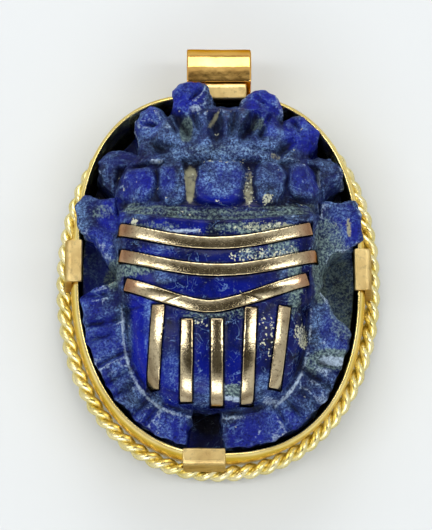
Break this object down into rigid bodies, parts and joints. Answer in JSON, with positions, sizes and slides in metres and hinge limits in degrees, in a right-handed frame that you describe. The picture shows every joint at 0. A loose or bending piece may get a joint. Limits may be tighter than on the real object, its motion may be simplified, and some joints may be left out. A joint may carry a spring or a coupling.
{
  "type": "scarab pendant",
  "caption": "Carved lapis lazuli scarab with inlaid gold strips, held by flat claws in an oval gold setting with twisted wire edging and a band bail.",
  "frame": {"origin": "under the middle of the whole pendant's box, on the plane of the back rim that it lies on", "axes": "+Y from the beetle's tail to its head and the bail, +Z from the open back to the carved top, +X across"},
  "size_m": [0.0196, 0.0258, 0.0088],
  "materials": {
    "lapis": "carved and hand-polished lapis lazuli, chalky and grey-green in the grooves, with pyrite specks",
    "inlay_gold": "worn rose-tinted gold strip, satin with brighter bends",
    "setting_gold": "polished yellow gold",
    "claw_gold": "matt filed yellow gold"
  },
  "bodies": {
    "root": {"scarab": "lapis", "inlay_cross_upper": "inlay_gold", "inlay_cross_middle": "inlay_gold", "inlay_cross_lower": "inlay_gold", "inlay_wing_1": "inlay_gold", "inlay_wing_2": "inlay_gold", "inlay_wing_3": "inlay_gold", "inlay_wing_4": "inlay_gold", "inlay_wing_5": "inlay_gold", "collet": "setting_gold", "rope_edging": "setting_gold", "claw_right": "claw_gold", "claw_top": "claw_gold", "claw_left": "claw_gold", "claw_bottom": "claw_gold", "bail": "setting_gold"}
  },
  "joints": []
}
